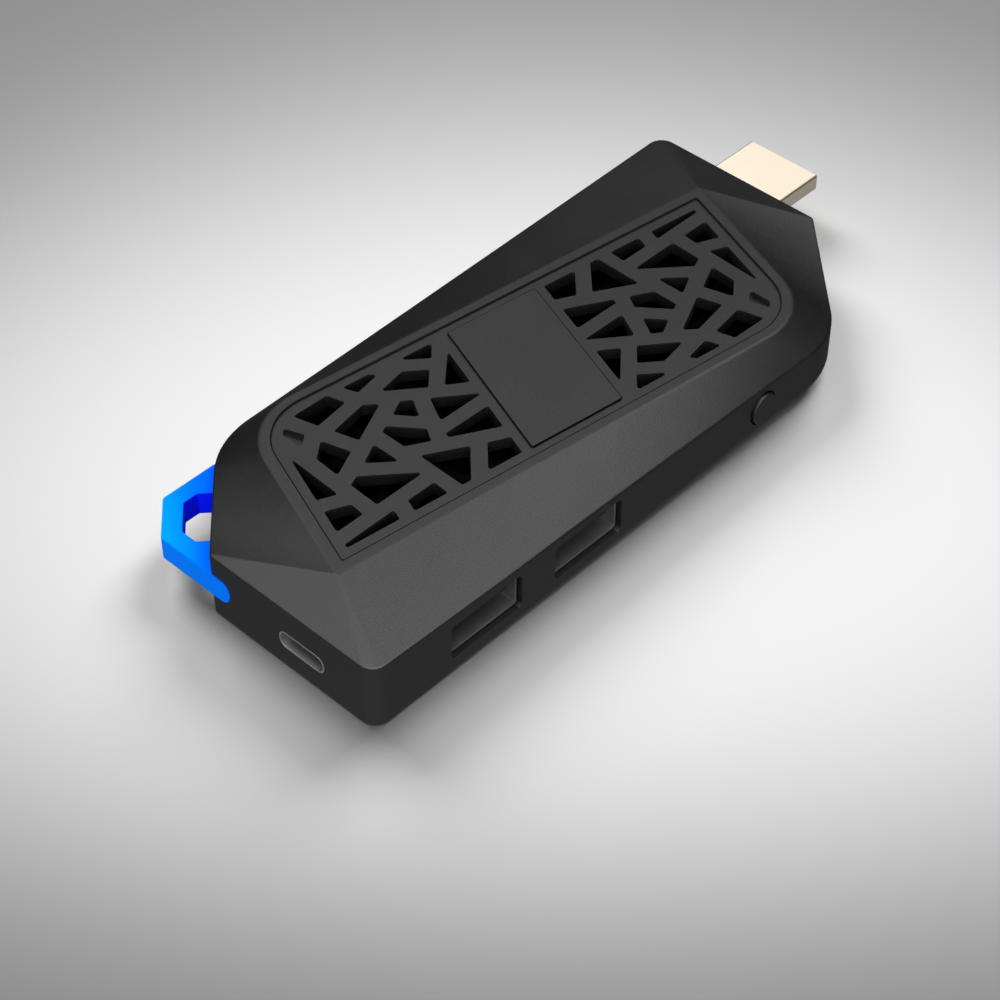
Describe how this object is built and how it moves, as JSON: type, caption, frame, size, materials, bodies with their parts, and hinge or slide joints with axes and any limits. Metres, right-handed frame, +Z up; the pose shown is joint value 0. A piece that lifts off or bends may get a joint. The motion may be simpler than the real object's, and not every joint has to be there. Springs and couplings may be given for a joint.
{
  "type": "stick computer",
  "caption": "Black faceted stick computer with a pierced top plate, a gold video plug on one end, sockets, a power button and a blue lanyard loop.",
  "frame": {"origin": "middle of the case's length and width, on the surface that it rests on", "axes": "+X out of the video plug, +Y to the side without sockets, +Z up through the grille"},
  "size_m": [0.1292, 0.0513, 0.0132],
  "materials": {
    "case_black": "fine-grained matte",
    "cover_black": "fine-grained matte",
    "grille_black": "fine-grained matte",
    "pad_black": "fine-grained matte",
    "loop_blue": "satin",
    "button_black": "matte",
    "plug_gold": "pale satin gold plate",
    "contact_gold": "gold plate",
    "shell_steel": "satin",
    "insulator": "matte",
    "board_black": "satin solder mask",
    "chip_black": "matte",
    "ferrite": "matte",
    "shield_metal": "satin",
    "copper": "satin copper",
    "thermal_grey": "matte",
    "sink_black": "black anodised",
    "fan_black": "matte",
    "plunger_white": "satin",
    "screw_steel": "satin"
  },
  "bodies": {
    "case": {"top_housing": "case_black", "bottom_cover": "cover_black", "grille_plate": "grille_black", "centre_pad": "pad_black", "lanyard_loop": "loop_blue", "video_plug_shell": "plug_gold", "video_plug_core": "insulator", "video_plug_pins": "contact_gold", "rear_socket_shell": "shell_steel", "rear_socket_tongue": "insulator", "rear_socket_pins": "contact_gold", "front_socket_shell": "shell_steel", "front_socket_tongue": "insulator", "front_socket_pins": "contact_gold", "power_socket_shell": "shell_steel", "power_socket_tongue": "insulator", "main_board": "board_black", "processor": "shield_metal", "memory_chips": "chip_black", "storage_chip": "chip_black", "power_coils": "ferrite", "wireless_module": "shield_metal", "antenna": "copper", "button_switch": "insulator", "thermal_pad": "thermal_grey", "heat_sink": "sink_black", "fan_frame": "fan_black", "fan_stator": "copper", "cover_screws": "screw_steel", "board_screws": "screw_steel", "cooling_screws": "screw_steel"},
    "button": {"power_button": "button_black", "switch_plunger": "plunger_white"},
    "fan": {"fan_rotor": "fan_black", "fan_shaft": "screw_steel"}
  },
  "joints": [
    {"name": "button_press", "type": "slide", "parent": "case", "child": "button", "axis": [0, 1, 0], "range_m": [0, 0.0003], "stiffness_N_per_m": 2000},
    {"name": "fan_spin", "type": "hinge", "parent": "case", "child": "fan", "pos_m": [-0.02517, 0.0035, 0.0076], "axis": [0, 0, 1], "continuous": true}
  ]
}
